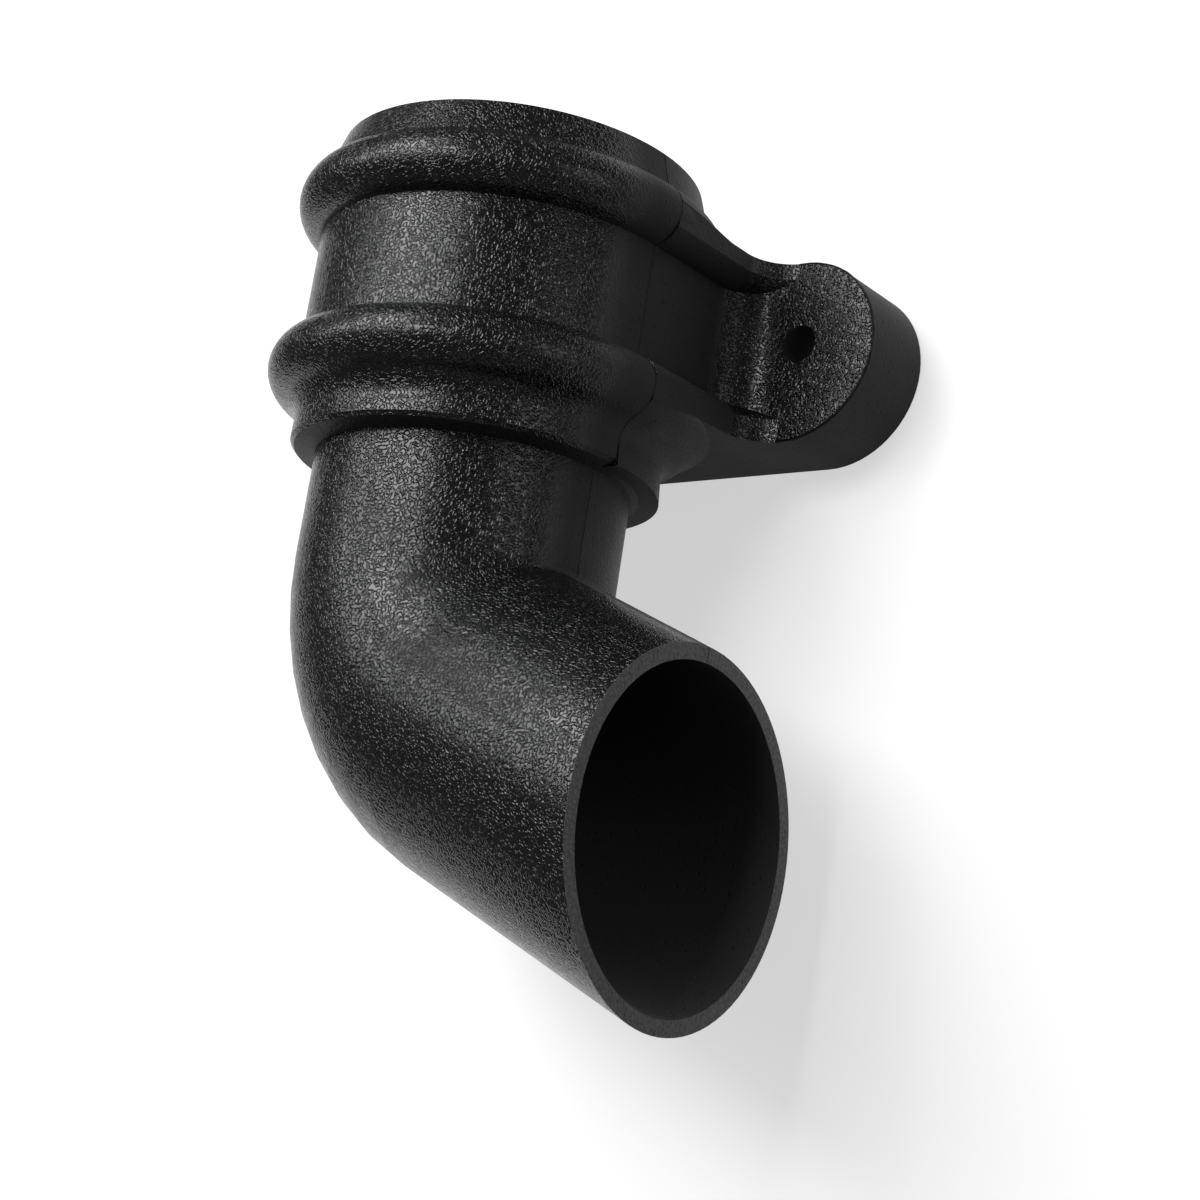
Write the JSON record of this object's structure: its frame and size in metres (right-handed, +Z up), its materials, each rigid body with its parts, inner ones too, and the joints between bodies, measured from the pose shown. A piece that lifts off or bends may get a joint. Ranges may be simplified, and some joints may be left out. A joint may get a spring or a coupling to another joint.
{
  "type": "downpipe shoe",
  "caption": "Black moulded downpipe shoe: a beaded socket collar with fixing lugs takes a round rainwater pipe, and a bend throws the water out sideways along the wall.",
  "frame": {"origin": "centre of the socket at the ledge that stops the pipe", "axes": "+Z up the pipe along the socket's axis, +Y to the wall, +X the way the outlet throws"},
  "size_m": [0.1404, 0.0909, 0.1682],
  "materials": {
    "black_pvc": "leather grain, satin"
  },
  "bodies": {
    "root": {"downpipe_shoe": "black_pvc"}
  },
  "joints": []
}
